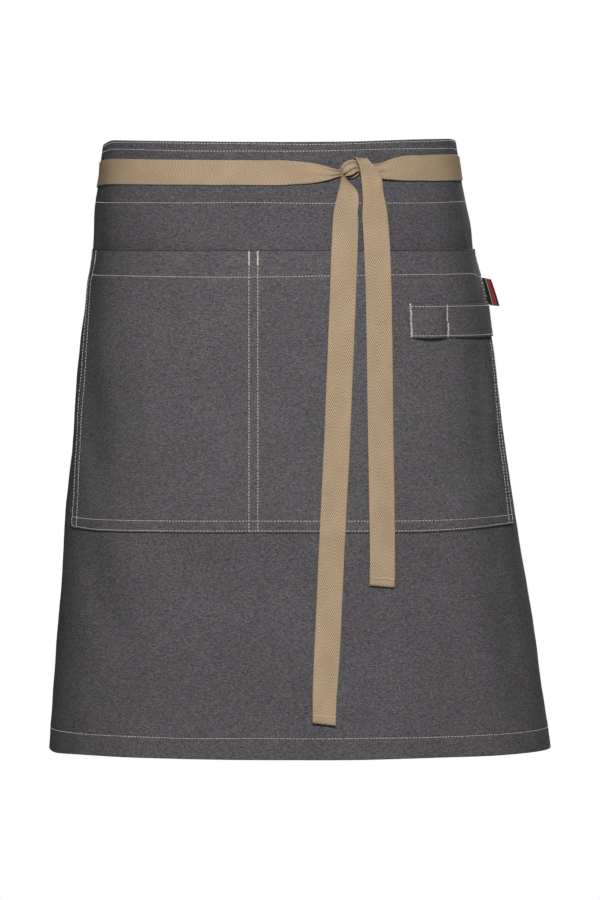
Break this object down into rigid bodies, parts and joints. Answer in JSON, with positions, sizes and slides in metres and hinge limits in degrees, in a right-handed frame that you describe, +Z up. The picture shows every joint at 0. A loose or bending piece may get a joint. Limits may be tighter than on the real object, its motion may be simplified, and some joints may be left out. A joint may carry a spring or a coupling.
{
  "type": "waist apron",
  "caption": "Half apron for the waist with a divided front pocket, tool loops on its right side, a plain side label and two tie tapes knotted at the front.",
  "frame": {"origin": "middle of the wearer's waist, at the height of the tie tapes", "axes": "+Z up along the wearer's body, -Y out of the apron's front, +X towards the right of someone who faces the apron"},
  "size_m": [0.4963, 0.3003, 0.6],
  "materials": {
    "chambray": "dark grey-blue chambray, plain weave",
    "chambray_inside": "the same cloth, inner side",
    "label": "black woven ribbon with a red and a pale stripe",
    "tape": "khaki herringbone tape"
  },
  "bodies": {
    "root": {"apron_panel": "chambray", "waistband_facing": "chambray_inside", "front_pocket": "chambray", "tool_loops": "chambray", "side_label": "label", "tie_tape_left": "tape", "tie_tape_right": "tape"}
  },
  "joints": []
}
